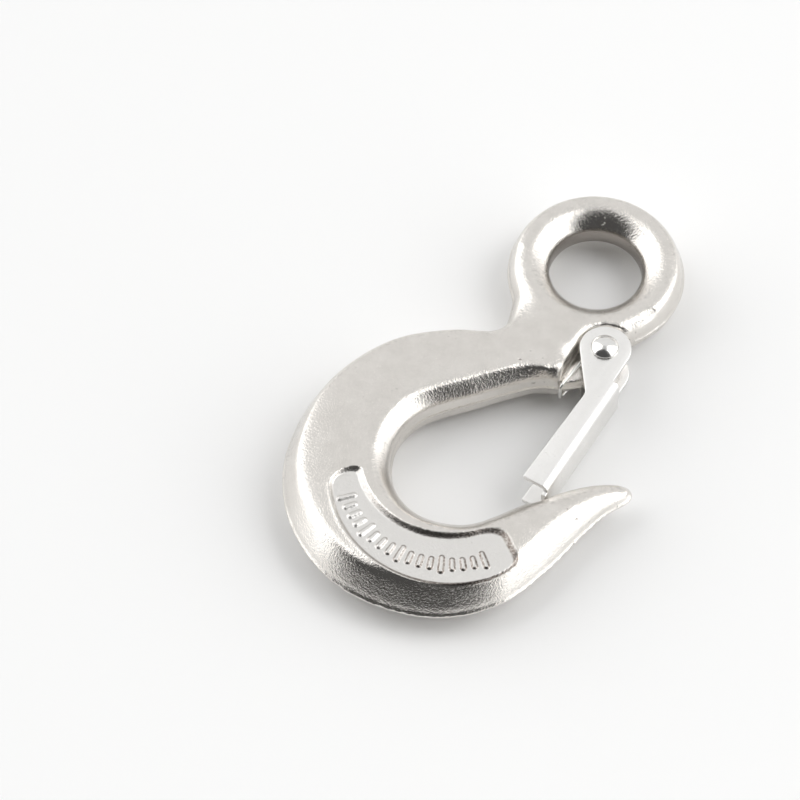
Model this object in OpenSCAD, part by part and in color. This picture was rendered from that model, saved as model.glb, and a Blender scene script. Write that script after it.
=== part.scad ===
// Eye hook with a spring latch, the small size used on hoists and slings.
// The hook lies flat: +Z is square to its face, +Y is the load line towards the eye, and the
// latch and the point are on the +X side. The origin is the centre of the eye. Millimetres.

/* [Eye] */
// Outside diameter of the eye
eye_od = 37.3; // [30:0.1:46]
// Bore of the eye at its narrowest
eye_id = 19.2; // [14:0.1:24]
// Thickness of the eye from face to face
eye_t = 10; // [8:0.1:13]

/* [Hook] */
// Width of the hook from the back of the bowl to the point
hook_w = 68.4; // [56:0.1:83]
// Height from the centre of the eye to the bottom of the bowl
hook_h = 91.4; // [75:0.1:111]
// Thickness of the bowl from face to face
bowl_t = 12.8; // [10:0.1:16]
// Depth of the panel sunk into the face of the bowl
panel_depth = 0.7; // [0.3:0.1:1.5]
// Depth of the seat cut into the point for the end of the latch
seat_depth = 1.1; // [0.6:0.1:2]

/* [Pivot] */
// Diameter of the rivet
rivet_d = 4; // [3:0.1:5]
// Running clearance between the rivet and its bores, on the radius
rivet_play = 0.06; // [0.02:0.01:0.1]
// Diameter of the rivet heads
head_d = 5.8; // [5.5:0.1:8]
// Height of the rivet heads
head_h = 1.4; // [0.8:0.1:2.5]
// Thickness of the lug that the latch straddles
lug_t = 3.6; // [2.5:0.1:5]

/* [Latch] */
// Width of the latch channel, outside
latch_w = 10.4; // [10:0.1:13]
// Thickness of the latch sheet
sheet_t = 1.1; // [0.8:0.1:1.5]
// Radius of the ears
ear_r = 5.2; // [4.5:0.1:6.5]
// Distance from the rivet to the outside of the latch's back
back_out = 7.2; // [6.5:0.1:9]
// Width of the latch's side at its free end
side_w = 6; // [4:0.1:6.5]

/* [Spring] */
// Diameter of the spring wire
wire_d = 0.8; // [0.5:0.05:1]

/* [Hidden] */
$fn = 96;

steel = [0.80, 0.79, 0.77];
bright_steel = [0.88, 0.88, 0.87];
spring_steel = [0.62, 0.62, 0.60];

eye_r = eye_od / 2;
bore_r = eye_id / 2;
eye_half = eye_t / 2;
bowl_half = bowl_t / 2;

// The bowl is drawn at its usual size and stretched with the width and the height.
usual_w = 68.4;
usual_h = 91.4;
stretch_x = hook_w / usual_w;
stretch_y = hook_h / usual_h;
usual_eye_r = 18.65;
eye_grow = eye_r - usual_eye_r;

// ---- Hook sections ----
// Each row is one section through the hook, from inside the eye round to the point:
// [outer x, outer y, inner x, inner y, share of the half thickness, outer round, inner round]
SECTIONS = [
    [-10.4, -12.6, 12.0, -12.4, 0.68, 3.2, 3.0],
    [-11.2, -16.3, 15.6, -16.0, 0.77, 3.2, 3.2],
    [-9.8, -20.6, 14.6, -21.6, 0.79, 2.8, 3.2],
    [-12.0, -25.3, 8.2, -28.0, 0.84, 2.4, 3.4],
    [-20.0, -29.9, 2.4, -31.0, 0.90, 2.2, 3.7],
    [-28.4, -37.3, -6.0, -40.1, 0.95, 2.2, 3.8],
    [-34.0, -48.4, -13.4, -48.9, 0.98, 2.4, 3.7],
    [-35.7, -60.0, -15.2, -57.2, 1.00, 3.0, 3.5],
    [-33.0, -73.3, -12.6, -64.8, 1.00, 3.8, 3.6],
    [-25.0, -83.7, -7.3, -69.4, 1.00, 4.6, 3.8],
    [-13.0, -90.3, -1.8, -70.8, 1.00, 5.2, 3.8],
    [0.0, -91.1, 4.0, -69.6, 1.00, 5.6, 3.8],
    [12.0, -87.0, 8.2, -67.0, 1.00, 5.8, 3.9],
    [20.6, -78.6, 11.4, -62.8, 0.97, 5.6, 4.2],
    [25.3, -67.8, 14.2, -58.2, 0.90, 5.8, 5.0],
    [27.6, -57.6, 18.2, -53.0, 0.76, 4.9, 4.6],
    [29.6, -50.6, 23.4, -47.2, 0.55, 3.4, 3.4],
    [31.8, -46.4, 28.2, -43.6, 0.34, 2.1, 2.1],
    [32.7, -44.2, 31.0, -42.6, 0.17, 1.1, 1.1]
];
// Steps of the smooth curve between two rows, and points on each rounded corner
curve_steps = 4;
corner_steps = 5;
// How square the rounded corners are: 1 is an ellipse
corner_power = 0.92;

// A smooth curve through a list of rows, between row i and the next
function blend_rows(rows, i, t) =
    let (
        last = len(rows) - 1,
        a = rows[max(i - 1, 0)],
        b = rows[i],
        c = rows[min(i + 1, last)],
        d = rows[min(i + 2, last)]
    )
    0.5 * (2 * b + (c - a) * t + (2 * a - 5 * b + 4 * c - d) * t * t
        + (3 * b - a - 3 * c + d) * t * t * t);

// A row's points move down with a larger eye and stretch with the hook
function place_row(row) = [
    row[0] * widen(row[1]), row[1] * stretch_y - eye_grow * neck_share(row[1]),
    row[2] * widen(row[3]), row[3] * stretch_y - eye_grow * neck_share(row[3]),
    row[4] * bowl_half, row[5], row[6]
];
// The neck follows the eye fully, and the bowl not at all
function neck_share(y) = min(1, max(0, (y + 60) / 40));
// The neck keeps its width beside the lug, where the latch and its spring are, in a wider hook
neck_top = -30;
neck_low = -45;
function widen(y) =
    1 + (stretch_x - 1) * min(1, max(0, (neck_top - y) / (neck_top - neck_low)));

rows = [for (row = SECTIONS) place_row(row)];
sweep = concat(
    [for (i = [0:len(rows) - 2], s = [0:curve_steps - 1]) blend_rows(rows, i, s / curve_steps)],
    [rows[len(rows) - 1]]
);

// Depth and height of a point on a rounded corner, k steps up from the middle of the thickness
function corner(depth, height, k) =
    let (a = 90 * k / corner_steps)
    [depth * (1 - pow(cos(a), corner_power)), height * pow(sin(a), corner_power)];

// One closed section: up the outside, over the face, down the inside, and back underneath
function section_points(s) =
    let (
        out = [s[0], s[1]],
        in = [s[2], s[3]],
        width = norm(in - out),
        along = (in - out) / width,
        half = s[4],
        top_out = [for (k = [0:corner_steps]) corner(s[5], half, k)],
        top_in = [for (k = [corner_steps:-1:0]) [width, 0] + flip(corner(s[6], half, k))],
        low_in = [for (k = [1:corner_steps]) [width, 0] - corner(s[6], half, k)],
        low_out = [for (k = [corner_steps:-1:1]) flip(-corner(s[5], half, k))]
    )
    [for (p = concat(top_out, top_in, low_in, low_out))
        [out.x + along.x * p.x, out.y + along.y * p.x, p.y]];
function flip(p) = [-p.x, p.y];

module hook_sweep() {
    sections = [for (s = sweep) section_points(s)];
    n = len(sections[0]);
    count = len(sections);
    walls = [for (i = [0:count - 2], j = [0:n - 1], half = [0, 1])
        let (a = i * n + j, b = i * n + (j + 1) % n)
        half == 0 ? [a, b, b + n] : [a, b + n, a + n]];
    start_cap = [[for (j = [n - 1:-1:0]) j]];
    end_cap = [[for (j = [0:n - 1]) (count - 1) * n + j]];
    polyhedron([for (s = sections) each s], concat(start_cap, walls, end_cap));
}

// ---- Eye ----
// Half height of the straight land in the middle of the bore
land_half = 1.5;
funnel_w = 3.8;
rim_w = 3.3;

module eye_ring() {
    steps = 8;
    funnel = [for (k = [0:steps]) let (a = 90 * k / steps)
        [bore_r + funnel_w * (1 - cos(a)), land_half + (eye_half - land_half) * sin(a)]];
    rim = [for (k = [steps:-1:1]) let (a = 90 * k / steps)
        [eye_r - rim_w * (1 - cos(a)), eye_half * sin(a)]];
    upper = concat(funnel, rim, [[eye_r, 0]]);
    lower = [for (k = [len(upper) - 2:-1:0]) [upper[k].x, -upper[k].y]];
    rotate_extrude()
        polygon(concat(upper, lower));
}

// ---- Pivot, seat and latch layout ----
pivot_angle = -57;
pivot_reach = eye_r + 2.85;
pivot = [cos(pivot_angle), sin(pivot_angle)] * pivot_reach;
lug_half = lug_t / 2;
latch_half = latch_w / 2;
lug_bore_d = rivet_d + 2 * rivet_play;
ear_bore_d = lug_bore_d;

// The seat is on the inner edge of the point, at this row and this far on to the next
seat_row = 14;
seat_share = 0.78;
seat_station = blend_rows(rows, seat_row, seat_share);
seat_next = blend_rows(rows, seat_row, seat_share + 0.05);
seat = [seat_station[2], seat_station[3]];
seat_way = [seat_next[2] - seat.x, seat_next[3] - seat.y];
seat_angle = atan2(seat_way.y, seat_way.x);

// Gap between the end of the latch and the floor of its seat
seat_gap = 0.2;
// The latch's outer end corner rests just above the floor of the seat
corner_depth = seat_depth - seat_gap;
rest = seat + [sin(seat_angle), -cos(seat_angle)] * corner_depth;
to_rest = rest - pivot;
reach = norm(to_rest);
latch_len = sqrt(reach * reach - back_out * back_out);
// Turns the latch from straight down, -Y, so that its corner is at rest
latch_turn = atan2(to_rest.y, to_rest.x) + 90 - asin(back_out / reach);

// ---- Hook body ----
recess_r = ear_r + 1.1;
cut = 30;
// The face is cut back to the lug by three overlapping rounds: [x, y, radius], from the rivet
face_rounds = [[0, 0, recess_r], [-1.8, -5.3, 4.8], [-2.3, -9.4, 3.5]];

module spot_face() {
    for (round = face_rounds)
        translate([pivot.x + round[0], pivot.y + round[1], lug_half])
            cylinder(r = round[2], h = cut);
}

// The panel lies between two arcs, wider towards the point
panel_outer_r = 24.4;
panel_outer_at = [0, -62];
panel_inner_r = 19.2;
panel_inner_at = [-2.5, -58];
panel_steps = 14;
panel_corner_r = 1.4;

function arc(at, r, from, to, steps) =
    [for (k = [0:steps]) let (a = from + (to - from) * k / steps) at + r * [cos(a), sin(a)]];

module panel_cut() {
    outer = arc(panel_outer_at, panel_outer_r, 211, 333, panel_steps);
    inner = arc(panel_inner_at, panel_inner_r, 330, 218, panel_steps);
    translate([0, 0, bowl_half - panel_depth])
        linear_extrude(cut)
            offset(r = panel_corner_r, $fn = 32)
                offset(delta = -panel_corner_r)
                    polygon([for (p = concat(outer, inner)) [p.x * stretch_x, p.y * stretch_y]]);
}

module seat_cut() {
    length = 4.8;
    // The step at the top of the seat stands just clear of the latch's back
    step = (seat_depth - seat_gap) * tan(seat_angle) + 0.3;
    translate([seat.x, seat.y, 0])
        rotate(seat_angle)
            translate([step - length, -seat_depth, -cut / 2])
                cube([length, cut, cut]);
}

module hook_body() {
    color(steel)
    difference() {
        union() {
            eye_ring();
            hook_sweep();
        }
        translate([pivot.x, pivot.y, -cut])
            cylinder(d = lug_bore_d, h = 2 * cut);
        spot_face();
        mirror([0, 0, 1])
            spot_face();
        panel_cut();
        seat_cut();
    }
}

// ---- Latch ----
// The latch is drawn with its rivet at the origin and its free end straight down, along -Y
back_in = back_out - sheet_t;
bend_r = 1.6;
back_top = 6.2;
flange_end = latch_len - 1;
kink = [2.1, 11.6];
ear_side = 5.6;

module at_latch() {
    translate([pivot.x, pivot.y, 0])
        rotate(latch_turn)
            children();
}

// Outline of one side of the channel, up to the start of the bend
module side_outline() {
    inner_edge = back_out - side_w;
    polygon([
        [-ear_r * cos(40), -ear_r * sin(40)],
        [kink.x, -kink.y],
        [inner_edge, -flange_end],
        [back_out - bend_r, -flange_end],
        [back_out - bend_r, -back_top],
        [ear_side, -back_top],
        [ear_side, 0],
        [0, 0]
    ]);
    circle(r = ear_r);
    intersection() {
        circle(r = ear_side);
        translate([0, -ear_side])
            square([ear_side, 2 * ear_side]);
    }
}

module bend_profile() {
    inner_r = bend_r - sheet_t;
    difference() {
        translate([back_out - bend_r, latch_half - bend_r])
            circle(r = bend_r);
        translate([back_out - bend_r, latch_half - bend_r])
            circle(r = inner_r);
        translate([back_out - 3 * bend_r, -cut])
            square([2 * bend_r, 2 * cut]);
        translate([-cut, latch_half - 3 * bend_r])
            square([2 * cut, 2 * bend_r]);
    }
}

module latch_plate() {
    color(steel)
    at_latch()
        difference() {
            union() {
                for (side = [0, 1])
                    mirror([0, 0, side]) {
                        translate([0, 0, latch_half - sheet_t])
                            linear_extrude(sheet_t)
                                side_outline();
                        translate([0, -back_top, 0])
                            rotate([90, 0, 0])
                                linear_extrude(flange_end - back_top)
                                    bend_profile();
                    }
                translate([back_in, -latch_len, -(latch_half - bend_r)])
                    cube([sheet_t, latch_len - back_top, latch_w - 2 * bend_r]);
            }
            translate([0, 0, -cut])
                cylinder(d = ear_bore_d, h = 2 * cut);
        }
}

// ---- Rivet ----
module rivet_head() {
    // Radius of the ball that the dome is part of
    dome_r = (head_d * head_d / 4 + head_h * head_h) / (2 * head_h);
    intersection() {
        translate([0, 0, latch_half + head_h - dome_r])
            sphere(r = dome_r);
        translate([0, 0, latch_half])
            cylinder(d = head_d, h = head_h);
    }
}

module pivot_rivet() {
    color(bright_steel)
    translate([pivot.x, pivot.y, 0]) {
        translate([0, 0, -latch_half])
            cylinder(d = rivet_d, h = latch_w);
        rivet_head();
        mirror([0, 0, 1])
            rivet_head();
    }
}

// ---- Spring ----
// Two coils, one each side of the lug, joined by a loop that bears on the throat side of the hook
wire_r = wire_d / 2;
coil_r = rivet_d / 2 + wire_r + 0.35;
coil_in_z = lug_half + wire_r + 0.05;
coil_out_z = latch_half - sheet_t - wire_r - 0.06;
// As many turns as the room beside the lug takes: one and a half, or a half beside a thick lug
coil_turns = 0.5 + floor(max(0, (coil_out_z - coil_in_z) / (1.05 * wire_d) - 0.5));
loop_reach = 9.9;
loop_lean = 0.7;
loop_bend = 1.2;
leg_reach = 13;
wire_sides = 8;

function turned(p, a) = [p.x * cos(a) - p.y * sin(a), p.x * sin(a) + p.y * cos(a)];
function on_coil(a, z) = [coil_r * cos(a), coil_r * sin(a), z];

// The wire on the upper side, from the middle of the loop to the end of the leg
function half_wire() =
    let (
        steps = 24 * coil_turns,
        corner_y = -loop_reach,
        x = -coil_r - loop_lean,
        loop = [for (a = [0:30:90])
            [x, corner_y - loop_bend * cos(a), coil_in_z - loop_bend + loop_bend * sin(a)]],
        coil = [for (k = [0:steps]) let (t = k / steps)
            on_coil(180 - 360 * coil_turns * t, coil_in_z + (coil_out_z - coil_in_z) * t)],
        leg = turned([back_in - wire_r - 0.12, -leg_reach], latch_turn)
    )
    concat([[x, corner_y - loop_bend, 0]], loop, coil, [[leg.x, leg.y, coil_out_z]]);

// The whole wire: the lower half reversed and mirrored, then the upper half
function whole_wire() =
    let (upper = half_wire(), n = len(upper))
    concat([for (k = [n - 1:-1:1]) [upper[k].x, upper[k].y, -upper[k].z]], upper);

function unit(v) = v / norm(v);

// One ring of points round the wire, square to its direction
function wire_ring(path, i) =
    let (
        n = len(path),
        way = unit(path[min(i + 1, n - 1)] - path[max(i - 1, 0)]),
        up = abs(way.z) > 0.6 ? [1, 0, 0] : [0, 0, 1],
        side = unit(cross(way, up)),
        over = cross(side, way)
    )
    [for (k = [0:wire_sides - 1]) let (a = 360 * k / wire_sides)
        path[i] + wire_r * (side * cos(a) + over * sin(a))];

module latch_spring() {
    path = whole_wire();
    count = len(path);
    points = [for (i = [0:count - 1]) each wire_ring(path, i)];
    walls = [for (i = [0:count - 2], j = [0:wire_sides - 1], half = [0, 1])
        let (a = i * wire_sides + j, b = i * wire_sides + (j + 1) % wire_sides)
        half == 0 ? [a, b, b + wire_sides] : [a, b + wire_sides, a + wire_sides]];
    caps = [
        [for (j = [wire_sides - 1:-1:0]) j],
        [for (j = [0:wire_sides - 1]) (count - 1) * wire_sides + j]
    ];
    color(spring_steel)
        translate([pivot.x, pivot.y, 0])
            polyhedron(points, concat(walls, caps));
}

hook_body();
latch_plate();
pivot_rivet();
latch_spring();
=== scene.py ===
# %% [markdown]
# # An eye hook with a spring latch
# The imported CAD model comes in first. It is the frame of the scene: every piece below takes its
# place from it, and the box of the CAD model is kept.

# %% The imported model
import math

import bpy
import numpy as np
from mathutils import Matrix, Vector, noise


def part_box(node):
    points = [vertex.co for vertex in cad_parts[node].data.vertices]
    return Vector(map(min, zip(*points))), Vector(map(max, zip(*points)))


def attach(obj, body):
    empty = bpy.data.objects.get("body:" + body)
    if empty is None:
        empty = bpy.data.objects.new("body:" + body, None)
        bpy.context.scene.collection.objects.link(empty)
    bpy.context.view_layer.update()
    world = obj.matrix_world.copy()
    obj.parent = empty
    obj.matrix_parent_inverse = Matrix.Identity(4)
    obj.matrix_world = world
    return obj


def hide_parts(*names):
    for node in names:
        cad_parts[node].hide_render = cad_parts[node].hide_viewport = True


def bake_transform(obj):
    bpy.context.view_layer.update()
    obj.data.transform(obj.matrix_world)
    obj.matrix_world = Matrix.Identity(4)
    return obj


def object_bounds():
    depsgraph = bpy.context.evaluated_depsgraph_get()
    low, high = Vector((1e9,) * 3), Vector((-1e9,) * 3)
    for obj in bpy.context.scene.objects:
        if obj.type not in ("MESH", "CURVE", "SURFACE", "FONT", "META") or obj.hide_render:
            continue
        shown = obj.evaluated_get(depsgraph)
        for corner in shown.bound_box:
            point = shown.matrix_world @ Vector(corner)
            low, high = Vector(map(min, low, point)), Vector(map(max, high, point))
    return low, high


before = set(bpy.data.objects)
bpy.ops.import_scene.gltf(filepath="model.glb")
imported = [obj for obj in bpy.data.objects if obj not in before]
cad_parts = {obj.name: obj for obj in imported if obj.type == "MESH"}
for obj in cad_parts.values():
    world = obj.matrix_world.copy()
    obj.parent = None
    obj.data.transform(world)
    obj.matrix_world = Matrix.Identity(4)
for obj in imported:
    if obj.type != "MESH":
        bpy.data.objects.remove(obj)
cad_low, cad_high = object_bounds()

MM = 0.001
print("CAD box, mm:", [round(v / MM, 1) for v in (*cad_low, *cad_high)])

# %% [markdown]
# ## Camera
# A long lens from a high place in front shows the hook lying on its back: its face is seen nearly
# square on, and its near edge just shows. The camera's place is on a line from the middle of the
# view, at an azimuth and an elevation, as one would set a camera on a tripod.

# %% Camera
AZIMUTH, ELEVATION = math.radians(30.0), math.radians(58.3)
CAMERA_AT = Vector((185.66, -404.23, 666.75)) * MM
camera_data = bpy.data.cameras.new("camera")
camera_data.sensor_width = 36.0
camera_data.lens = 170.2
camera = bpy.data.objects.new("camera", camera_data)
camera.location = CAMERA_AT
camera.rotation_euler = (math.pi / 2 - ELEVATION, 0.0, AZIMUTH)
bpy.context.scene.collection.objects.link(camera)
bpy.context.scene.camera = camera
print("camera at", [round(v, 3) for v in camera.location])

# %% [markdown]
# ## Hands
# The same few moves come back for every piece: take hold of one object, read and move its points,
# pick faces by their place, and apply a modifier. They are written once here. An operator works
# on all that is selected, so everything is let go first.


# %% Taking hold of an object
def hold(obj):
    bpy.ops.object.select_all(action="DESELECT")
    obj.select_set(True)
    bpy.context.view_layer.objects.active = obj
    return obj


def named(name):
    obj = bpy.context.object
    obj.name = obj.data.name = name
    return hold(obj)


def report(obj):
    size = [round(v / MM, 1) for v in obj.dimensions]
    print(f"{obj.name}: {len(obj.data.polygons)} faces, {size} mm")


bpy.ops.object.select_all(action="DESELECT")


# %% Reading and moving points
def points_of(obj):
    flat = np.empty(3 * len(obj.data.vertices), np.float32)
    obj.data.vertices.foreach_get("co", flat)
    return flat.reshape(-1, 3).astype(float)


def move_points(obj, points):
    obj.data.vertices.foreach_set("co", np.asarray(points, np.float32).ravel())
    obj.data.update()


def stand_up(obj, line):
    """Lays the points on a flat line, given as distance from Z and height, in millimetres."""
    move_points(obj, np.column_stack([line[:, 0], 0 * line[:, 0], line[:, 1]]) * MM)


def normals_of(obj):
    flat = np.empty(3 * len(obj.data.vertices), np.float32)
    obj.data.vertices.foreach_get("normal", flat)
    return flat.reshape(-1, 3).astype(float)


# %% Selecting in edit mode, and modifiers
def pick(obj, mask):
    """Selects the points where mask is true, and goes into edit mode."""
    hold(obj)
    bpy.ops.object.mode_set(mode="EDIT")
    bpy.ops.mesh.select_mode(type="VERT")
    bpy.ops.mesh.select_all(action="DESELECT")
    bpy.ops.object.mode_set(mode="OBJECT")
    obj.data.vertices.foreach_set("select", np.asarray(mask, bool))
    bpy.ops.object.mode_set(mode="EDIT")


def done():
    bpy.ops.object.mode_set(mode="OBJECT")


def pick_all(obj):
    hold(obj)
    bpy.ops.object.mode_set(mode="EDIT")
    bpy.ops.mesh.select_mode(type="VERT")
    bpy.ops.mesh.select_all(action="SELECT")


def clean(obj):
    """Merges doubles, closes open ends, and turns the faces outwards."""
    pick_all(obj)
    bpy.ops.mesh.remove_doubles(threshold=0.002 * MM)
    bpy.ops.mesh.fill_holes(sides=0)
    bpy.ops.mesh.select_all(action="SELECT")
    bpy.ops.mesh.normals_make_consistent(inside=False)
    done()


def modify(obj, kind, **values):
    hold(obj)
    modifier = obj.modifiers.new(kind.lower(), kind)
    for key, value in values.items():
        setattr(modifier, key, value)
    bpy.ops.object.modifier_apply(modifier=modifier.name)


def take_away(obj, cutter, operation="DIFFERENCE"):
    modify(obj, "BOOLEAN", operation=operation, solver="EXACT", object=cutter)
    bpy.data.objects.remove(cutter)


def smooth_step(t):
    t = np.clip(t, 0.0, 1.0)
    return t * t * (3.0 - 2.0 * t)


# %% [markdown]
# ## The bar of the hook
# The body of the hook is one casting. It is like a bar that was bent round and flattened on both
# faces: thin at the neck, deep at the back and the bottom of the bowl, and drawn out to a point.
# It could be extruded step by step, but its width, its rounding and its draft change all along
# it, so its shape is told by sections across it. Each row gives the outer and the inner end of
# one section (x, y, x, y), its share of the full thickness, how far its outer and its inner side
# are rounded, how much of the outer rounding is a straight draft, as a mould needs to let the
# casting go, and how much of the inner one is a chamfer. A smooth curve runs from row to row.

# %% Sections of the bar, in millimetres
HALF_THICKNESS = 6.4
CORNER_POWER = 0.92
SECTIONS = np.array([
    [-10.4, -12.6, 12.0, -12.4, 0.68, 3.2, 3.0, 0.00, 0.50],
    [-11.2, -16.3, 15.6, -16.0, 0.77, 3.2, 3.2, 0.00, 0.70],
    [-9.8, -20.6, 14.6, -21.6, 0.79, 2.8, 3.2, 0.10, 0.80],
    [-12.0, -25.3, 8.2, -28.0, 0.84, 2.4, 3.4, 0.20, 0.80],
    [-20.0, -29.9, 2.4, -31.0, 0.90, 2.2, 3.7, 0.30, 0.80],
    [-28.4, -37.3, -6.0, -40.1, 0.95, 2.2, 3.8, 0.36, 0.75],
    [-34.0, -48.4, -13.4, -48.9, 0.98, 2.4, 3.7, 0.42, 0.70],
    [-35.7, -60.0, -15.2, -57.2, 1.00, 3.0, 3.5, 0.50, 0.70],
    [-33.0, -73.3, -12.6, -64.8, 1.00, 3.8, 3.6, 0.62, 0.65],
    [-25.3, -84.1, -7.3, -69.4, 1.00, 4.6, 3.8, 0.74, 0.60],
    [-13.3, -91.0, -1.8, -70.8, 1.00, 5.2, 3.8, 0.76, 0.60],
    [-0.1, -92.0, 4.0, -69.6, 1.00, 5.6, 3.8, 0.76, 0.60],
    [12.3, -88.1, 8.2, -67.0, 1.00, 5.8, 3.9, 0.75, 0.55],
    [21.3, -79.4, 11.4, -62.8, 0.97, 5.6, 4.2, 0.70, 0.45],
    [25.7, -68.2, 14.2, -58.2, 0.90, 5.8, 5.0, 0.60, 0.30],
    [27.9, -57.8, 18.2, -53.0, 0.76, 4.9, 4.6, 0.45, 0.20],
    [29.8, -50.7, 23.4, -47.2, 0.55, 3.4, 3.4, 0.32, 0.10],
    [32.0, -46.5, 28.2, -43.6, 0.34, 2.1, 2.1, 0.20, 0.05],
    [32.8, -44.3, 31.0, -42.6, 0.17, 1.1, 1.1, 0.10, 0.00],
])


def section_at(i, t):
    """The section at a share t of the way from row i to the next, on a smooth curve."""
    last = len(SECTIONS) - 1
    a, b = SECTIONS[max(i - 1, 0)], SECTIONS[i]
    c, d = SECTIONS[min(i + 1, last)], SECTIONS[min(i + 2, last)]
    return 0.5 * (2 * b + (c - a) * t + (2 * a - 5 * b + 4 * c - d) * t**2
                  + (3 * b - a - 3 * c + d) * t**3)


# %% The closed outline of one section
AROUND = 84
CORNER_STEPS = 20
OUTER_CROWN, INNER_CROWN, CROWN_POWER = 0.16, 0.03, 2.5


def even(points, count):
    """The same closed line, with count points at even distances."""
    closed = np.vstack([points, points[:1]])
    run = np.concatenate([[0], np.cumsum(np.linalg.norm(np.diff(closed, axis=0), axis=1))])
    places = np.linspace(0, run[-1], count, endpoint=False)
    return np.column_stack([np.interp(places, run, column) for column in closed.T])


def outline(section):
    """The rounded line round one section, as points in millimetres."""
    out, inner = section[0:2], section[2:4]
    thick, outer_round, inner_round, draft_share, chamfer_share = section[4:]
    half = thick * HALF_THICKNESS
    width = np.linalg.norm(inner - out)
    a = np.linspace(0, math.pi / 2, CORNER_STEPS + 1)
    into, up = 1 - np.cos(a) ** CORNER_POWER, half * np.sin(a) ** CORNER_POWER
    slope = up / half
    chamfer = np.clip(2 * slope - 1, 0, 1)
    outer_in = outer_round * (into + draft_share * (slope - into))
    inner_in = inner_round * (into + chamfer_share * (chamfer - into))
    outer_top = np.column_stack([outer_in, up])
    inner_top = np.column_stack([width - inner_in, up])
    top = np.vstack([outer_top, inner_top[::-1]])
    under = (top * [1, -1])[::-1][1:-1]
    across = even(np.vstack([top, under]), AROUND)
    off_middle = 2 * across[:, 0] / width - 1
    crown = np.where(off_middle < 0, OUTER_CROWN, INNER_CROWN) * np.abs(off_middle) ** CROWN_POWER
    along = (inner - out) / width
    place = out + across[:, :1] * along
    return np.column_stack([place, across[:, 1] * (1 - crown)])


# %% A grid rolled round the sections
STEPS_PER_ROW = 10
stations = [section_at(i, s / STEPS_PER_ROW)
            for i in range(len(SECTIONS) - 1) for s in range(STEPS_PER_ROW)]
stations.append(SECTIONS[-1])
loops = np.array([outline(s) for s in stations])

bpy.ops.mesh.primitive_grid_add(x_subdivisions=len(stations) - 1, y_subdivisions=AROUND,
                                size=1)
hook = named("hook")
flat = points_of(hook) + 0.5
station_of = np.rint(flat[:, 0] * (len(stations) - 1)).astype(int)
place_of = np.rint(flat[:, 1] * AROUND).astype(int) % AROUND
move_points(hook, loops[station_of, place_of] * MM)
clean(hook)
report(hook)

# %% [markdown]
# ## The eye
# The eye is a ring with a softly rounded, slightly drafted rim. A short straight land is the
# narrowest part of its bore, and a funnel leads into it from each face. A torus would have a
# round section, so the ring is spun from its own outline instead: a circle of points is laid on
# the outline of the cut ring, and the spin operator carries it once round the axis of the bore.

# %% Outline of the ring, spun round the bore
EYE_R, BORE_R, EYE_HALF = 18.65, 9.8, 5.0
LAND_HALF, FUNNEL_W, FUNNEL_POWER = 1.7, 4.5, 1.5
RIM_W, RIM_DRAFT = 2.2, 0.35
RING_POINTS, RING_STEPS = 90, 160
a = np.linspace(0, math.pi / 2, 25)
funnel = np.column_stack([BORE_R + FUNNEL_W * (1 - np.cos(a) ** FUNNEL_POWER),
                          LAND_HALF + (EYE_HALF - LAND_HALF) * np.sin(a) ** FUNNEL_POWER])
rim_in = (1 - np.cos(a)) * (1 - RIM_DRAFT) + np.sin(a) * RIM_DRAFT
rim = np.column_stack([EYE_R - RIM_W * rim_in, EYE_HALF * np.sin(a)])[::-1]
ring_top = np.vstack([funnel, rim])
ring_under = (ring_top * [1, -1])[::-1][1:]
ring_line = even(np.vstack([ring_top, ring_under]), RING_POINTS)

bpy.ops.mesh.primitive_circle_add(vertices=len(ring_line), radius=1)
ring = named("ring")
stand_up(ring, ring_line)
pick_all(ring)
bpy.ops.mesh.spin(steps=RING_STEPS, angle=2 * math.pi, center=(0, 0, 0), axis=(0, 0, 1))
done()
clean(ring)
report(ring)

# %% [markdown]
# ## One solid, with its cuts
# The bar and the ring are cast as one, so they are joined by a boolean union. Then come the
# cuts: the lug that carries the latch is faced back from both sides, with a soft corner at the
# foot of the cut and a round scallop beside it that clears the spring, the rivet's hole goes
# through it, and a shallow seat on the point takes the free end of the latch. Cutting with a
# solid of the tool's shape leaves just the edges that the real cut has.

# %% Joining the ring to the bar
take_away(hook, ring, "UNION")
report(hook)

# %% The pivot, and the cut that faces the lug
rivet_low, rivet_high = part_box("pivot_rivet")
PIVOT = np.array([(rivet_low[0] + rivet_high[0]) / 2,
                  (rivet_low[1] + rivet_high[1]) / 2]) / MM
LUG_HALF = 1.8
LUG_BORE_R = 2.06
FACE_FROM, FACE_TO = np.array([0.0, 0.0, 5.55]), np.array([-2.2, -9.4, 2.9])
FACE_STEPS = 7
CUT_HIGH = 12.0
FOOT, FOOT_STEPS = 1.1, 5
THROUGH = 40.0


def facing_cutter(side):
    """A round-ended, tapered block, made of a row of cylinders with a soft lower edge."""
    cutter = None
    for x, y, r in np.linspace(FACE_FROM, FACE_TO, FACE_STEPS):
        middle = side * (LUG_HALF + CUT_HIGH / 2)
        bpy.ops.mesh.primitive_cylinder_add(
            vertices=64, radius=r * MM, depth=CUT_HIGH * MM,
            location=Vector((PIVOT[0] + x, PIVOT[1] + y, middle)) * MM)
        part = named("facing")
        bpy.ops.object.transform_apply(location=True, rotation=True, scale=True)
        pick(part, np.abs(points_of(part)[:, 2]) < (LUG_HALF + 0.1) * MM)
        bpy.ops.mesh.bevel(offset=FOOT * MM, segments=FOOT_STEPS, affect="EDGES")
        done()
        if cutter is None:
            cutter = part
        else:
            take_away(cutter, part, "UNION")
    return cutter


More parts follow.
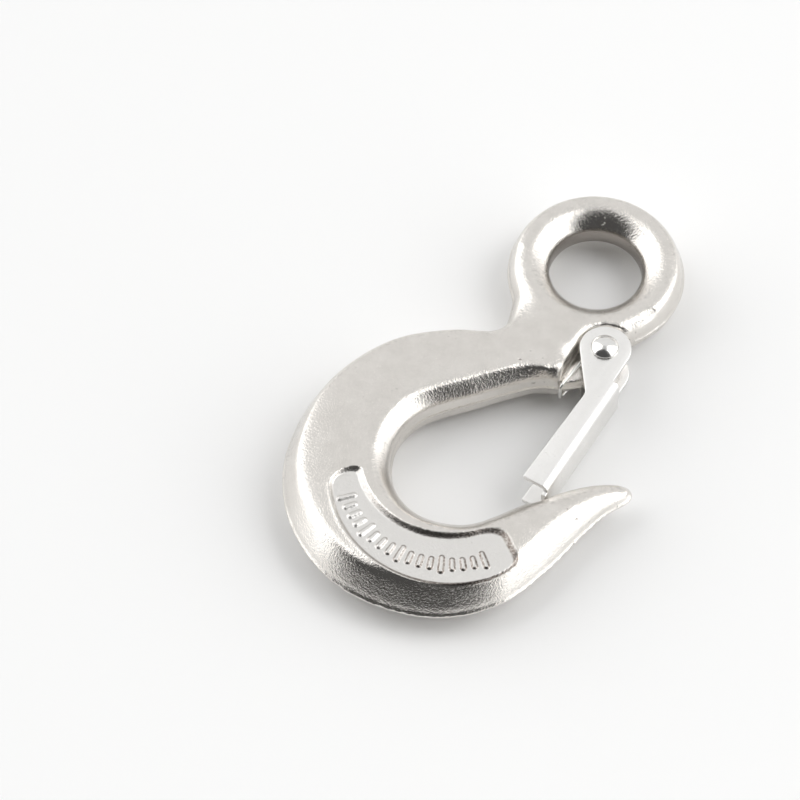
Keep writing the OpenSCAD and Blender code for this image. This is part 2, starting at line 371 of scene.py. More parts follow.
SCALLOP_AT, SCALLOP_R, SCALLOP_Z = (-3.7, -4.5), 4.0, 7.2
for side in (1, -1):
    take_away(hook, facing_cutter(side))
    bpy.ops.mesh.primitive_uv_sphere_add(
        segments=64, ring_count=32, radius=SCALLOP_R * MM,
        location=Vector((*(PIVOT + SCALLOP_AT), side * SCALLOP_Z)) * MM)
    take_away(hook, named("scallop"))
bpy.ops.mesh.primitive_cylinder_add(vertices=96, radius=LUG_BORE_R * MM, depth=THROUGH * MM,
                                    location=Vector((*PIVOT, 0)) * MM)
take_away(hook, named("hole"))
report(hook)

# %% The seat on the point, and the size of the latch that rests on it
LATCH_BACK_OUT = 7.2
SEAT_DEPTH, SEAT_GAP, SEAT_LENGTH, SEAT_STEP = 1.1, 0.2, 4.8, 0.3
SEAT_ROW, SEAT_SHARE, NEXT_SHARE = 14, 0.78, 0.83
seat_row = section_at(SEAT_ROW, SEAT_SHARE)[2:4]
seat_way = section_at(SEAT_ROW, NEXT_SHARE)[2:4] - seat_row
seat_angle = math.atan2(seat_way[1], seat_way[0])
seat_down = np.array([math.sin(seat_angle), -math.cos(seat_angle)])
rest = seat_row + seat_down * (SEAT_DEPTH - SEAT_GAP)
reach = np.linalg.norm(rest - PIVOT)
LATCH_LENGTH = math.sqrt(reach**2 - LATCH_BACK_OUT**2)
LATCH_TURN = (math.atan2(*(rest - PIVOT)[::-1]) + math.pi / 2
              - math.asin(LATCH_BACK_OUT / reach))
seat_step = (SEAT_DEPTH - SEAT_GAP) * math.tan(seat_angle) + SEAT_STEP

bpy.ops.mesh.primitive_cube_add(size=1)
seat = named("seat")
box = points_of(seat) * [SEAT_LENGTH, 20, 30] + [seat_step - SEAT_LENGTH / 2, 10 - SEAT_DEPTH, 0]
turn = Matrix.Translation((*seat_row, 0)) @ Matrix.Rotation(seat_angle, 4, "Z")
move_points(seat, [(turn @ Vector(p)) * MM for p in box])
take_away(hook, seat)
print("latch length, mm:", round(LATCH_LENGTH, 2), "turn:", round(math.degrees(LATCH_TURN), 2))

# %% [markdown]
# ## Softening the casting
# Booleans leave knife edges, and a casting has none. Bevels fail on such a net of long thin
# faces, so a voxel remesh gives the whole hook one even net of small squares, which can be
# smoothed like clay: a little everywhere, and much more where the ring flows into the neck and
# round the edge of the pocket beside the lug.

# %% Even net
VOXEL = 0.52
modify(hook, "REMESH", mode="VOXEL", voxel_size=VOXEL * MM, adaptivity=0.0)
report(hook)


# %% Smoothing
def smooth_where(obj, mask, times, factor=0.5):
    pick(obj, mask)
    bpy.ops.mesh.vertices_smooth(factor=factor, repeat=times)
    done()


ALL_TIMES, JOINT_TIMES, POCKET_TIMES = 4, 14, 10
JOINT_REACHES, JOINT_TOP_Y = (5.0, 3.6, 2.0), -4
LUG_R, POCKET_R, POCKET_ABOVE = 7.2, 13, 3.4
p = points_of(hook) / MM
smooth_where(hook, np.ones(len(p), bool), ALL_TIMES)
from_eye = np.hypot(p[:, 0], p[:, 1])
from_pivot = np.hypot(p[:, 0] - PIVOT[0], p[:, 1] - PIVOT[1])
for joint_reach in JOINT_REACHES:
    joint = (np.abs(from_eye - EYE_R) < joint_reach) & (p[:, 1] < JOINT_TOP_Y)
    smooth_where(hook, joint & ~(from_pivot < LUG_R), JOINT_TIMES)
pocket_edge = (from_pivot < POCKET_R) & (np.abs(p[:, 2]) > POCKET_ABOVE)
smooth_where(hook, pocket_edge, POCKET_TIMES)
report(hook)

# %% [markdown]
# ## The sunk panel
# Such hooks have a long panel sunk into the face of the bowl, between two arcs. Its floor is flat,
# its walls are soft coves, as a mould leaves them, and a low lip runs round its edge. On its
# floor stands a plain graduated row of raised bars, long and short. It could be cut by a boolean,
# but that would bring sharp edges back. So the net is made finer there first, and then its points
# are pressed down by their distance from the panel's edge.

# %% Distance from the edge of the panel
PANEL_OUTER, PANEL_OUTER_R = np.array([-0.2, -62.0]), 24.6
PANEL_INNER, PANEL_INNER_R = np.array([-2.9, -57.3]), 18.0
LEFT_END, RIGHT_END = (208, 214), (337, 335)
WALLS = np.array([0.9, 1.5, 0.8, 2.0])
PANEL_CORNER = 2.8
PANEL_FLOOR = 5.7
FACE_ABOVE = 5


def on_arc(middle, r, degrees):
    a = math.radians(degrees)
    return middle + r * np.array([math.cos(a), math.sin(a)])


def beside(points, start, end):
    """Distance to the left of the line from start to end."""
    way = (end - start) / np.linalg.norm(end - start)
    return (points[:, 1] - start[1]) * way[0] - (points[:, 0] - start[0]) * way[1]


def inside_panel(points):
    """Distance in from the edge, counted in widths of the nearest of the four WALLS:
    outer, inner, left and right."""
    left_out, right_out = [on_arc(PANEL_OUTER, PANEL_OUTER_R, end[0])
                           for end in (LEFT_END, RIGHT_END)]
    left_in, right_in = [on_arc(PANEL_INNER, PANEL_INNER_R, end[1])
                         for end in (LEFT_END, RIGHT_END)]
    sides = np.array([
        PANEL_OUTER_R - np.linalg.norm(points[:, :2] - PANEL_OUTER, axis=1),
        np.linalg.norm(points[:, :2] - PANEL_INNER, axis=1) - PANEL_INNER_R,
        beside(points, left_in, left_out),
        beside(points, right_out, right_in),
    ]) / WALLS[:, None]
    short = np.maximum(PANEL_CORNER - sides, 0)
    return PANEL_CORNER - np.sqrt((short**2).sum(axis=0))


p = points_of(hook) / MM
print("points on the panel:", int(((inside_panel(p) > 0) & (p[:, 2] > FACE_ABOVE)).sum()))

# %% Finer net on the panel
NET_MARGINS = 0.8, 0.3
for margin in NET_MARGINS:
    p = points_of(hook) / MM
    pick(hook, (inside_panel(p) > -margin) & (p[:, 2] > FACE_ABOVE))
    bpy.ops.mesh.subdivide(number_cuts=1, smoothness=0)
    done()
report(hook)

# %% Pressing the panel down
COVE = 1.0
LIP_HIGH, LIP_OUT, LIP_WIDE = 0.10, 0.12, 0.28
p = points_of(hook) / MM
depth = inside_panel(p)
on_face = p[:, 2] > FACE_ABOVE
press = np.where(on_face, smooth_step(depth / COVE), 0)
lip = np.where(on_face, LIP_HIGH * np.exp(-((depth + LIP_OUT) / LIP_WIDE) ** 2), 0)
p[:, 2] += (PANEL_FLOOR - p[:, 2]) * press + lip
print("deepest press, mm:", round(float(p[press > 0, 2].min()), 2), "above the middle")

# %% The graduated bars on its floor
BARS_AT, BARS_R = np.array([-1.2, -60.3]), 21.75
BAR_WIDE, BAR_HIGH, BAR_SOFT = 0.80, 0.36, 0.8
BAR_FROM, BAR_TO, BAR_COUNT = 226, 318, 17
BAR_LONG, BAR_SHORT, LONG_EVERY = 1.5, 0.95, 4
# The flanks of the bars towards the right end of the row get painted shadow
FLANK_FROM, FLANK_OVER, FLANK_SHADE = 236, 50, 0.45
swing = np.degrees(np.arctan2(p[:, 1] - BARS_AT[1], p[:, 0] - BARS_AT[0])) % 360
radial = np.hypot(p[:, 0] - BARS_AT[0], p[:, 1] - BARS_AT[1]) - BARS_R
step = (BAR_TO - BAR_FROM) / (BAR_COUNT - 1)
nearest = np.clip(np.rint((swing - BAR_FROM) / step), 0, BAR_COUNT - 1)
aside = np.abs(swing - BAR_FROM - nearest * step) * math.pi / 180 * BARS_R
bar_half = np.where(nearest % LONG_EVERY == 0, BAR_LONG, BAR_SHORT)
over_end = np.maximum(np.abs(radial) - bar_half, 0)
from_bar = np.hypot(aside, over_end)
bar = smooth_step((BAR_WIDE - from_bar) / (BAR_SOFT * BAR_WIDE))
p[:, 2] += BAR_HIGH * bar * press
move_points(hook, p * MM)

# %% Where the panel keeps its cast skin, with painted shadow on its bar flanks, for the steel to read
# Painted shadow: less skin on the flanks of the bars makes the steel darken them
flank_shade = 4 * bar * (1 - bar) * smooth_step((swing - FLANK_FROM) / FLANK_OVER)
skin_and_shade = hook.data.attributes.new("cast_skin_and_shade", "FLOAT", "POINT")
skin_and_shade.data.foreach_set("value", (press * (1 - FLANK_SHADE * flank_shade)).astype(np.float32))
report(hook)

# %% [markdown]
# ## Marks of its making
# The halves of the mould meet at the middle of the thickness and leave a low seam there, along
# the outer and the inner edge. Tumbling softens the steel, but it stays a little uneven, with a
# few dents. A bump in the material could hint at these, but the outline wouldn't show them, so
# each is a small move of the points along their normals. The net is smoothed and made finer along
# the seam first, so that the seam runs clean.


# %% Seam, unevenness and dents
def uneven(points, size, seed):
    """Smooth noise from -1 to 1, with features of about this size in millimetres."""
    shift = Vector((seed * 17.3, seed * 5.1, seed * 9.7))
    return np.array([noise.noise(Vector(q) / size + shift) for q in points])


SEAM_HIGH, SEAM_WIDE = 0.34, 0.45
SEAM_SOFT, SEAM_NET, SEAM_SOFT_AGAIN, SEAM_TIMES = 1.6, 0.8, 1.1, 12
SEAM_FROM_BORE, SEAM_FROM_PIVOT = 12, 8
DENT_FACE_UP = 0.6
smooth_where(hook, np.abs(points_of(hook)[:, 2]) < SEAM_SOFT * MM, SEAM_TIMES)
pick(hook, np.abs(points_of(hook)[:, 2]) < SEAM_NET * MM)
bpy.ops.mesh.subdivide(number_cuts=1, smoothness=0)
done()
smooth_where(hook, np.abs(points_of(hook)[:, 2]) < SEAM_SOFT_AGAIN * MM, SEAM_TIMES)
# Place x, y, radius and depth of each dent
DENTS = ((-22.0, -36.5, 0.8, 0.10), (-33.2, -53.0, 0.6, 0.12), (-3.5, -24.6, 0.9, 0.09),
         (8.9, -12.9, 0.8, 0.12), (-11.5, -30.5, 0.5, 0.07), (-25.4, -44.0, 0.5, 0.06),
         (14.5, 6.0, 0.5, 0.07), (-29.0, -66.5, 0.5, 0.05), (1.5, -16.0, 0.5, 0.08))
p = points_of(hook) / MM
n = normals_of(hook)
outside = ((np.hypot(p[:, 0], p[:, 1]) > SEAM_FROM_BORE)
           & (np.hypot(*(p[:, :2] - PIVOT).T) > SEAM_FROM_PIVOT))
level_way = n * [1, 1, 0] / np.maximum(np.linalg.norm(n[:, :2], axis=1), 0.5)[:, None]
seam = np.where(outside, SEAM_HIGH * np.exp(-(p[:, 2] / SEAM_WIDE) ** 2), 0)
p += level_way * seam[:, None]
away = 0.030 * uneven(p, 7.0, 1) + 0.014 * uneven(p, 2.6, 2)
for x, y, r, deep in DENTS:
    dent = deep * np.exp(-(np.hypot(p[:, 0] - x, p[:, 1] - y) / r) ** 2)
    away -= np.where(n[:, 2] > DENT_FACE_UP, dent, 0)
move_points(hook, (p + n * away[:, None]) * MM)
hold(hook)
bpy.ops.object.shade_smooth()
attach(hook, "hook")
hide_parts("hook_body")
report(hook)

# %% [markdown]
# ## The latch
# The latch is one piece of sheet steel folded into a channel. A box could be hollowed out, but
# its fold would then have no round, so the sheet is made as a sheet. Half of its outer skin is
# drawn first: the back is a plane, the fold is the plane's edge spun through a quarter turn, and
# the side is a flat outline with a round ear. The mirror makes the other half, Solidify gives
# the sheet its thickness inwards, and a small bevel takes the sharpness off its cut edges.

# %% Outline of the side, with the rivet at the origin and the free end along -Y
SHEET, LATCH_HALF, BEND_R = 1.1, 5.2, 1.6
BACK_TOP, SIDE_W, SIDE_SHORT = 6.2, 6.0, 1.0
EAR_R, EAR_SIDE = 5.2, 5.6
EAR_STEPS, EAR_SWING, EAR_EVEN_AT = 40, 220, 26
KINK_AT, KINK_ROUND, END_ROUND = (2.1, -11.6), 0.8, 0.5
FOLD_X, FOLD_Z, FOLD_STEPS = LATCH_BACK_OUT - BEND_R, LATCH_HALF - BEND_R, 7
SIDE_END = LATCH_LENGTH - SIDE_SHORT


def rounded(points, radii, steps=6):
    """The open line through these points, with its inner corners rounded."""
    points = [np.array(q, float) for q in points]
    line = [points[0]]
    for before, at, after, r in zip(points, points[1:], points[2:], radii):
        start = at + (before - at) / np.linalg.norm(before - at) * r
        end = at + (after - at) / np.linalg.norm(after - at) * r
        for k in range(steps + 1):
            t = k / steps
            line.append((1 - t) ** 2 * start + 2 * t * (1 - t) * at + t**2 * end)
    line.append(points[-1])
    return line


ear = []
for k in range(EAR_STEPS + 1):
    r = EAR_SIDE + (EAR_R - EAR_SIDE) * smooth_step(k / EAR_EVEN_AT)
    a = math.radians(EAR_SWING * k / EAR_STEPS)
    ear.append((r * math.cos(a), r * math.sin(a)))
edge_line = rounded([ear[-1], KINK_AT, (LATCH_BACK_OUT - SIDE_W, -SIDE_END),
                     (FOLD_X, -SIDE_END)], (KINK_ROUND, END_ROUND))
side_line = [(FOLD_X, -BACK_TOP), *ear, *edge_line[1:]]
print("points on the side's outline:", len(side_line))

# %% Back, fold and side
bpy.ops.mesh.primitive_grid_add(x_subdivisions=1, y_subdivisions=2, size=1)
latch = named("latch")
grid = points_of(latch)
along_y = np.interp(grid[:, 1], (-0.5, 0, 0.5), (-LATCH_LENGTH, -SIDE_END, -BACK_TOP))
across_z = (grid[:, 0] + 0.5) * FOLD_Z
move_points(latch, np.column_stack([0 * grid[:, 0] + LATCH_BACK_OUT, along_y, across_z]) * MM)

p = points_of(latch) / MM
pick(latch, (p[:, 2] > FOLD_Z - 0.01) & (p[:, 1] > -SIDE_END - 0.01))
bpy.ops.mesh.spin(steps=FOLD_STEPS, angle=math.pi / 2, axis=(0, 1, 0),
                  center=Vector((FOLD_X, 0, FOLD_Z)) * MM)
done()
p = points_of(latch) / MM
print("fold reaches z, mm:", round(p[:, 2].max(), 2), "and x", round(p[:, 0].max(), 2))

bpy.ops.mesh.primitive_circle_add(vertices=len(side_line), radius=1, fill_type="NGON")
side_face = named("side")
move_points(side_face, [(x * MM, y * MM, LATCH_HALF * MM) for x, y in side_line])
hold(side_face)
latch.select_set(True)
bpy.context.view_layer.objects.active = latch
bpy.ops.object.join()
pick_all(latch)
bpy.ops.mesh.remove_doubles(threshold=0.005 * MM)
bpy.ops.mesh.normals_make_consistent(inside=False)
done()
report(latch)

# %% Mirror, thickness, hole and soft edges
CUT_EDGE = 0.22
modify(latch, "MIRROR", use_axis=(False, False, True), use_mirror_merge=True,
       merge_threshold=0.005 * MM)
back = max(latch.data.polygons, key=lambda face: face.area * (abs(face.normal.x) > 0.9))
if back.normal.x < 0:
    pick_all(latch)
    bpy.ops.mesh.flip_normals()
    done()
modify(latch, "SOLIDIFY", thickness=SHEET * MM, offset=-1, use_even_offset=True)
bpy.ops.mesh.primitive_cylinder_add(vertices=64, radius=LUG_BORE_R * MM, depth=THROUGH * MM)
take_away(latch, named("ear_hole"))
modify(latch, "BEVEL", width=CUT_EDGE * MM, segments=3, limit_method="ANGLE",
       angle_limit=math.radians(40), use_clamp_overlap=True)
latch.data.transform(Matrix.Translation(Vector((*PIVOT, 0)) * MM)
                     @ Matrix.Rotation(LATCH_TURN, 4, "Z"))
hold(latch)
bpy.ops.object.shade_smooth_by_angle(angle=math.radians(32))
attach(latch, "latch")
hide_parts("latch_plate")
report(latch)

# %% [markdown]
# ## The rivet
# One rivet goes through both ears and the lug. Its heads are shallow domes with a small rounded
# rim. The outline from one pole to the other is an open line, spun round the rivet's axis, so the
# shank and both heads are one piece. The edge that closes the circle of points along the axis is
# deleted first, because it would spin into a line of faces with no area.

# %% Half outline, spun into the rivet
RIVET_R, HEAD_R, HEAD_HIGH, HEAD_RIM = 2.0, 2.9, 1.4, 0.22
DOME_IN, DOME_POINTS, RIM_POINTS = 0.10, 15, 7
dome_r = (HEAD_R**2 + HEAD_HIGH**2) / (2 * HEAD_HIGH)
dome_z = LATCH_HALF + HEAD_HIGH - dome_r
widest = math.asin((HEAD_R - DOME_IN) / dome_r)
line = [(dome_r * math.sin(t), dome_z + dome_r * math.cos(t))
        for t in np.linspace(0, widest, DOME_POINTS)]
line += [(HEAD_R - HEAD_RIM + HEAD_RIM * math.cos(t),
          LATCH_HALF + HEAD_RIM + HEAD_RIM * math.sin(t))
         for t in np.linspace(0.5, -math.pi / 2, RIM_POINTS)]
line += [(RIVET_R, LATCH_HALF)]
line = np.array(line + [(r, -z) for r, z in reversed(line)])

bpy.ops.mesh.primitive_circle_add(vertices=len(line), radius=1)
rivet = named("rivet")
stand_up(rivet, line)
hold(rivet)
ends = {0, len(line) - 1}
bpy.ops.object.mode_set(mode="EDIT")
bpy.ops.mesh.select_mode(type="EDGE")
bpy.ops.mesh.select_all(action="DESELECT")
done()
for edge in rivet.data.edges:
    edge.select = set(edge.vertices) == ends
bpy.ops.object.mode_set(mode="EDIT")
bpy.ops.mesh.delete(type="EDGE")
done()
pick_all(rivet)
bpy.ops.mesh.spin(steps=96, angle=2 * math.pi, center=(0, 0, 0), axis=(0, 0, 1))
done()
clean(rivet)
rivet.data.transform(Matrix.Translation(Vector((*PIVOT, 0)) * MM))
bpy.ops.object.shade_smooth_by_angle(angle=math.radians(50))
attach(rivet, "latch")
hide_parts("pivot_rivet")
report(rivet)

# %% [markdown]
# ## The spring
# A torsion spring of thin wire keeps the latch shut. It has a coil on each side of the lug, a loop
# between them that bears on the throat side of the hook, and a leg from each coil that pushes
# the back of the latch. A Screw modifier would make the coils but not the loop and the legs, so
# each half is one line of points with a round bevel. When the latch opens the coils twist.

# %% The line of the upper half, from the middle of the loop to the end of the leg
WIRE_R = 0.4
RIVET_GAP, LUG_GAP, EAR_GAP, BACK_GAP = 0.35, 0.05, 0.06, 0.12
COIL_R = RIVET_R + WIRE_R + RIVET_GAP
COIL_IN, COIL_OUT = LUG_HALF + WIRE_R + LUG_GAP, LATCH_HALF - SHEET - WIRE_R - EAR_GAP
COIL_TURNS, POINTS_PER_TURN = 1.5, 32
LOOP_REACH, LOOP_LEAN, LOOP_BEND, LEG_REACH = 10.3, 1.3, 1.2, 13.0
loop_x = -COIL_R - LOOP_LEAN
half_wire = [(loop_x, -LOOP_REACH - LOOP_BEND, 0.0)]
half_wire += [(loop_x, -LOOP_REACH - LOOP_BEND * math.cos(t),
               COIL_IN - LOOP_BEND + LOOP_BEND * math.sin(t))
              for t in np.linspace(0, math.pi / 2, 7)]
coil_points = int(POINTS_PER_TURN * COIL_TURNS)
for k in range(coil_points + 1):
    t = k / coil_points
    angle = math.pi - 2 * math.pi * COIL_TURNS * t
    half_wire.append((COIL_R * math.cos(angle), COIL_R * math.sin(angle),
                      COIL_IN + (COIL_OUT - COIL_IN) * t))
leg = Matrix.Rotation(LATCH_TURN, 2) @ Vector(
    (LATCH_BACK_OUT - SHEET - WIRE_R - BACK_GAP, -LEG_REACH))
half_wire.append((leg.x, leg.y, COIL_OUT))
print("points on the wire:", len(half_wire))


# %% Two halves of one wire
def wire_half(name, side):
    bpy.ops.curve.primitive_nurbs_path_add()
    wire = hold(bpy.context.object)
    wire.name = name
    wire.data.splines.clear()
    spline = wire.data.splines.new("POLY")
    spline.points.add(len(half_wire) - 1)
    for point, (x, y, z) in zip(spline.points, half_wire):
        point.co = ((PIVOT[0] + x) * MM, (PIVOT[1] + y) * MM, side * z * MM, 1)
    wire.data.dimensions = "3D"
    wire.data.twist_mode = "MINIMUM"
    wire.data.bevel_depth = WIRE_R * MM
    wire.data.bevel_resolution = 4
    wire.data.use_fill_caps = True
    bpy.ops.object.convert(target="MESH")
    wire = named(name)
    clean(wire)
    bpy.ops.object.shade_smooth_by_angle(angle=math.radians(50))
    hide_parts("latch_spring")
    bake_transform(wire)
    report(wire)
    return wire


spring = [wire_half("spring_upper", 1), wire_half("spring_lower", -1)]

# %% [markdown]
# ## Steel
# Cast and tumbled stainless steel is bright but not a mirror. Its colour is a warm grey, its gloss
# changes from place to place, and its skin is finely pebbled, so that dark reflections break up
# into specks. A picture of steel would only suit one light, so all of this is noise on Object
# coordinates. The rolled sheet of the latch, the rivet and the wire use the same nodes with other
# values, and only the casting has dark marks: a band where its faces turn into its edges, coves
# and a bore that are partly unpolished and partly painted shade, and painted shadow on the flanks
# of the bars.


# %% Building a material from nodes
def node(tree, kind, **values):
    """A new node, with its inputs set by name, and its own settings too."""
    made = tree.nodes.new(kind)
    for key, value in values.items():
        if key in made.inputs:
            made.inputs[key].default_value = value
        else:
            setattr(made, key, value)
    return made


def link(tree, start, end):
    tree.links.new(start, end)


def feed(tree, value, socket):
    """Sets a colour or a number on a socket, or links another node's output to it."""
    if isinstance(value, tuple):
        socket.default_value = (*value, 1)
    elif isinstance(value, float):
        socket.default_value = value
    else:
        link(tree, value, socket)


def noise_at(tree, place, size, detail, rough):
    """Noise with features of about this size in millimetres."""
    made = node(tree, "ShaderNodeTexNoise", Scale=1.0 / (size * MM), Detail=detail,
                Roughness=rough)
    link(tree, place, made.inputs["Vector"])
    return made.outputs["Fac"]


def between(tree, value, low, high, to_low, to_high, curve="LINEAR"):
    """Carries a value from the range low to high over to the range to_low to to_high."""
    made = node(tree, "ShaderNodeMapRange", clamp=True, interpolation_type=curve)
    for key, number in (("From Min", low), ("From Max", high),
                        ("To Min", to_low), ("To Max", to_high)):
        made.inputs[key].default_value = number
    link(tree, value, made.inputs["Value"])
    return made.outputs["Result"]


def blended(tree, amount, first, second):
    """The first colour where the amount is 0, and the second where it is 1."""
    made = node(tree, "ShaderNodeMix", data_type="RGBA")
    link(tree, amount, made.inputs["Factor"])
    feed(tree, first, made.inputs[6])
    feed(tree, second, made.inputs[7])
    return made.outputs[2]


def combine(tree, operation, first, second):
    made = node(tree, "ShaderNodeMath", operation=operation)
    feed(tree, first, made.inputs[0])
    feed(tree, second, made.inputs[1])
    return made.outputs[0]


def length_of(tree, vector):
    """How far a place lies from the Z axis."""
    level = node(tree, "ShaderNodeVectorMath", operation="MULTIPLY")
    level.inputs[1].default_value = (1, 1, 0)
    link(tree, vector, level.inputs[0])
    length = node(tree, "ShaderNodeVectorMath", operation="LENGTH")
    link(tree, level.outputs["Vector"], length.inputs[0])
    return length.outputs["Value"]


# %% What only the casting has
PANEL_SATIN = (0.75, 0.74, 0.72)


def cast_marks(tree, where, colour, gloss, stain_and_shade):
    """Dark marks, partly unpolished skin and partly painted shade, and the panel's duller floor.
    """
    place = where.outputs["Object"]
    # A thin, broken dark band is painted where the flat face turns down into the rounded edge,
    # picked by the tilt of the surface
    up = node(tree, "ShaderNodeSeparateXYZ")
    link(tree, where.outputs["Normal"], up.inputs[0])
    turning = combine(tree, "MULTIPLY", between(tree, up.outputs["Z"], 0.80, 0.90, 0.0, 1.0),
                      between(tree, up.outputs["Z"], 0.93, 0.985, 1.0, 0.0))
    broken = between(tree, noise_at(tree, place, 0.9, 4.0, 0.7), 0.48, 0.66, 0.0, 0.22)
    colour = blended(tree, combine(tree, "MULTIPLY", turning, broken), colour, stain_and_shade)
    skin_and_shade = node(tree, "ShaderNodeAttribute", attribute_name="cast_skin_and_shade").outputs["Fac"]
    colour = blended(tree, combine(tree, "MULTIPLY", skin_and_shade, 0.75), colour, PANEL_SATIN)
    gloss = combine(tree, "ADD", gloss, combine(tree, "MULTIPLY", skin_and_shade, 0.20))
    # The coves round the panel are darkened: partly unpolished skin that the tumbling stones
    # can't reach, partly painted shade that grows towards +X
    cove = combine(tree, "MULTIPLY", between(tree, skin_and_shade, 0.02, 0.18, 0.0, 1.0),
                   between(tree, skin_and_shade, 0.80, 0.99, 1.0, 0.0))
    cove_dirt_and_shade = between(tree, noise_at(tree, place, 0.5, 3.0, 0.6), 0.30, 0.62, 0.45, 0.95)
    side = node(tree, "ShaderNodeSeparateXYZ")
    link(tree, place, side.inputs[0])
    # Painted shade: the coves darken more towards +X
    cove_dirt_and_shade = combine(tree, "MULTIPLY", cove_dirt_and_shade,
                    between(tree, side.outputs["X"], -20 * MM, 6 * MM, 0.15, 1.0))
    colour = blended(tree, combine(tree, "MULTIPLY", cove, cove_dirt_and_shade), colour, stain_and_shade)
    # The wall of the bore is darkened too: partly skin the stones leave unpolished, partly painted
    # shade in the hole
    bore = between(tree, length_of(tree, place), 9.9 * MM, 10.5 * MM, 0.65, 0.0)
    return blended(tree, bore, colour, stain_and_shade), gloss


# %% The steel of every piece
BUMP_DEEP = 0.14


def steel(name, bright, dull, stain_and_shade, rough, pebble, pebble_high, pits, cast=False):
    """Colours are red, green and blue, rough is a range, and pebble is a size in millimetres."""
    material = bpy.data.materials.new(name)
    material.use_nodes = True
    tree = material.node_tree
    shader = tree.nodes["Principled BSDF"]
    shader.inputs["Metallic"].default_value = 1.0
    where = node(tree, "ShaderNodeTexCoord")
    place = where.outputs["Object"]

    patches = between(tree, noise_at(tree, place, 5.0, 4.0, 0.6), 0.35, 0.68, 0.0, 1.0)
    colour = blended(tree, patches, bright, dull)
    pit_noise = noise_at(tree, place, 0.75, 3.0, 0.55)
    pit_areas = between(tree, noise_at(tree, place, 9.0, 2.0, 0.5), 0.45, 0.68, 0.0, 1.0)
    pit = combine(tree, "MULTIPLY", between(tree, pit_noise, 0.66, 0.74, 0.0, pits), pit_areas)
    # The darkest colour marks real pits here; cast_marks also uses it for painted shade
    colour = blended(tree, pit, colour, stain_and_shade)
    fine = noise_at(tree, place, pebble, 3.0, 0.6)
    gloss = combine(tree, "ADD", between(tree, fine, 0.3, 0.7, -0.05, 0.07),
                    between(tree, patches, 0.0, 1.0, rough[0], rough[1]))
    if cast:
        colour, gloss = cast_marks(tree, where, colour, gloss, stain_and_shade)
    link(tree, colour, shader.inputs["Base Color"])
    link(tree, combine(tree, "ADD", gloss, combine(tree, "MULTIPLY", pit, 0.35)),
         shader.inputs["Roughness"])

    high = combine(tree, "SUBTRACT", combine(tree, "MULTIPLY", fine, pebble_high),
                   combine(tree, "MULTIPLY", pit, 0.7))
    bump = node(tree, "ShaderNodeBump", Strength=1.0, Distance=BUMP_DEEP * MM)
    link(tree, high, bump.inputs["Height"])
    link(tree, bump.outputs["Normal"], shader.inputs["Normal"])
    return material


FINISHES = {
    "tumbled_steel": steel("tumbled_steel", (0.80, 0.77, 0.73), (0.74, 0.71, 0.67),
                           (0.16, 0.13, 0.11), (0.11, 0.17), 0.42, 0.60, 0.7, cast=True),
    "sheet_steel": steel("sheet_steel", (0.90, 0.89, 0.87), (0.85, 0.84, 0.82),
                         (0.30, 0.27, 0.24), (0.30, 0.38), 0.30, 0.35, 0.25),
    "rivet_steel": steel("rivet_steel", (0.86, 0.85, 0.83), (0.80, 0.79, 0.77),
                         (0.30, 0.26, 0.22), (0.12, 0.18), 0.4, 0.15, 0.2),
    "wire_steel": steel("wire_steel", (0.82, 0.81, 0.79), (0.72, 0.71, 0.69),
                        (0.25, 0.22, 0.19), (0.16, 0.24), 0.3, 0.15, 0.2),
}
for piece, finish in ((hook, "tumbled_steel"), (latch, "sheet_steel"), (rivet, "rivet_steel"),
                      (spring[0], "wire_steel"), (spring[1], "wire_steel")):
    piece.data.materials.clear()
    piece.data.materials.append(FINISHES[finish])
print("finishes:", sorted(FINISHES))

# %% [markdown]
# ## Floor and light
# Polished steel shows what is round it more than it shows itself. Lamps alone would leave it
# black between their glints, so the studio is a dome of light. Its back is even, for the flat
# faces to mirror, its two sides are brighter, for the rounded edges, its ceiling is dimmer, and
# one wide stretch in front is dark. The hook's near edges and the funnel of the eye pick that up
# as dark bands. The floor is plain and pale.

# %% Floor
FLOOR_GAP, FLOOR_R = 0.02, 6.0
floor_z = min(cad_low.z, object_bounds()[0].z) - FLOOR_GAP * MM
bpy.ops.mesh.primitive_circle_add(vertices=128, radius=FLOOR_R, fill_type="NGON",
                                  location=(0, 0, floor_z))
floor = named("floor")
floor_material = bpy.data.materials.new("pale_floor")
floor_material.use_nodes = True
tree = floor_material.node_tree
paint = tree.nodes["Principled BSDF"]
paint.inputs["Base Color"].default_value = (0.94, 0.94, 0.935, 1)
paint.inputs["Roughness"].default_value = 0.9
paint.inputs["Specular IOR Level"].default_value = 0.1
floor.data.materials.append(floor_material)

# %% The dome of light
BACK, SIDES, FRONT, ABOVE = 0.86, 1.95, 0.08, 0.55
# Azimuth and height of the middle, half the width, and the soft edge, in degrees
LEFT_SIDE, RIGHT_SIDE, DARK_FRONT = (196, 0, 38, 8), (20, 0, 37, 10), (286, 27, 54, 3)
CEILING_FROM, CEILING_FULL = 0.93, 0.98

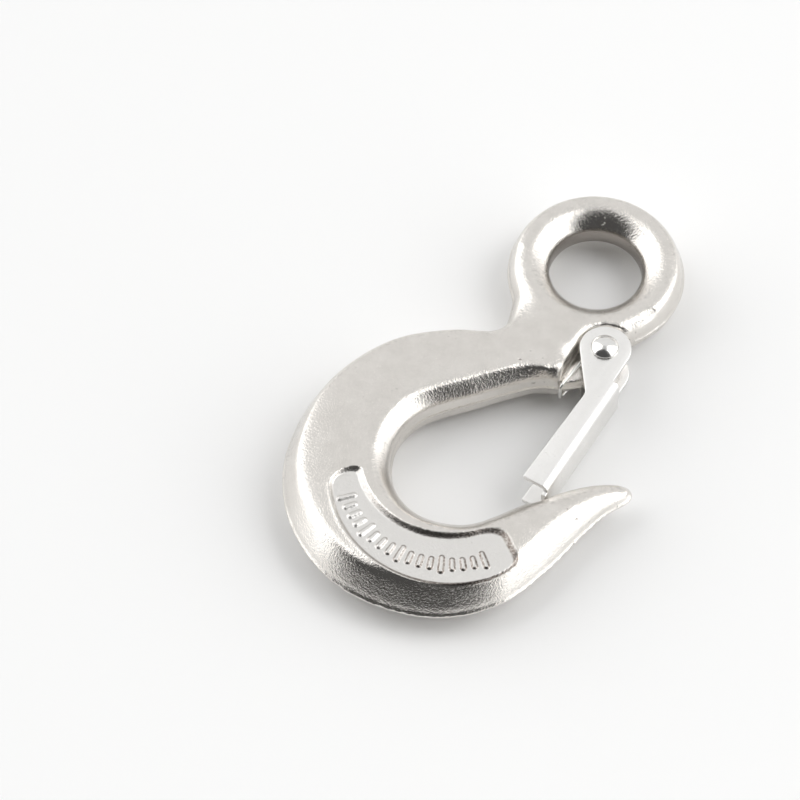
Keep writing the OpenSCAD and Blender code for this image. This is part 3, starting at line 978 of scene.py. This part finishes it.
world = bpy.data.worlds.new("studio")
bpy.context.scene.world = world
world.use_nodes = True
tree = world.node_tree
sky = tree.nodes["Background"]
direction = node(tree, "ShaderNodeTexCoord").outputs["Generated"]
split = node(tree, "ShaderNodeSeparateXYZ")
link(tree, direction, split.inputs[0])
level = node(tree, "ShaderNodeVectorMath", operation="MULTIPLY")
level.inputs[1].default_value = (1, 1, 0)
link(tree, direction, level.inputs[0])
heading = node(tree, "ShaderNodeVectorMath", operation="NORMALIZE")
link(tree, level.outputs[0], heading.inputs[0])


def stretch(tree, vector, azimuth, height, half, soft):
    """One near a direction, fading out over a soft edge. A heading fills every height."""
    a, e = math.radians(azimuth), math.radians(height)
    dot = node(tree, "ShaderNodeVectorMath", operation="DOT_PRODUCT")
    link(tree, vector, dot.inputs[0])
    dot.inputs[1].default_value = (math.cos(a) * math.cos(e), math.sin(a) * math.cos(e),
                                   math.sin(e))
    return between(tree, dot.outputs["Value"], math.cos(math.radians(half + soft)),
                   math.cos(math.radians(half - soft)), 0.0, 1.0, "SMOOTHSTEP")


def lerp(tree, amount, first, second):
    """The first number where the amount is 0, and the second where it is 1."""
    made = node(tree, "ShaderNodeMix", data_type="FLOAT")
    link(tree, amount, made.inputs["Factor"])
    feed(tree, first, made.inputs[2])
    feed(tree, second, made.inputs[3])
    return made.outputs[0]


ceiling = between(tree, split.outputs["Z"], CEILING_FROM, CEILING_FULL, 0.0, 1.0, "SMOOTHSTEP")
strength = lerp(tree, stretch(tree, heading.outputs[0], *LEFT_SIDE), BACK, SIDES)
strength = lerp(tree, stretch(tree, heading.outputs[0], *RIGHT_SIDE), strength, SIDES)
strength = lerp(tree, ceiling, strength, ABOVE)
strength = lerp(tree, stretch(tree, direction, *DARK_FRONT), strength, FRONT)
link(tree, strength, sky.inputs["Strength"])
sky.inputs["Color"].default_value = (1, 1, 1, 1)
print("nodes in the studio's world:", len(tree.nodes))

# %% One soft lamp from the right
lamp_data = bpy.data.lights.new("softbox", "AREA")
lamp_data.shape = "DISK"
lamp_data.size = 0.5
lamp_data.energy = 1.0
print("lamp, W:", lamp_data.energy)
lamp = bpy.data.objects.new("softbox", lamp_data)
lamp.location = (0.45, 0.30, 0.80)
lamp.rotation_euler = (-lamp.location).to_track_quat("-Z", "Y").to_euler()
bpy.context.scene.collection.objects.link(lamp)
bpy.context.scene.view_settings.view_transform = "Standard"
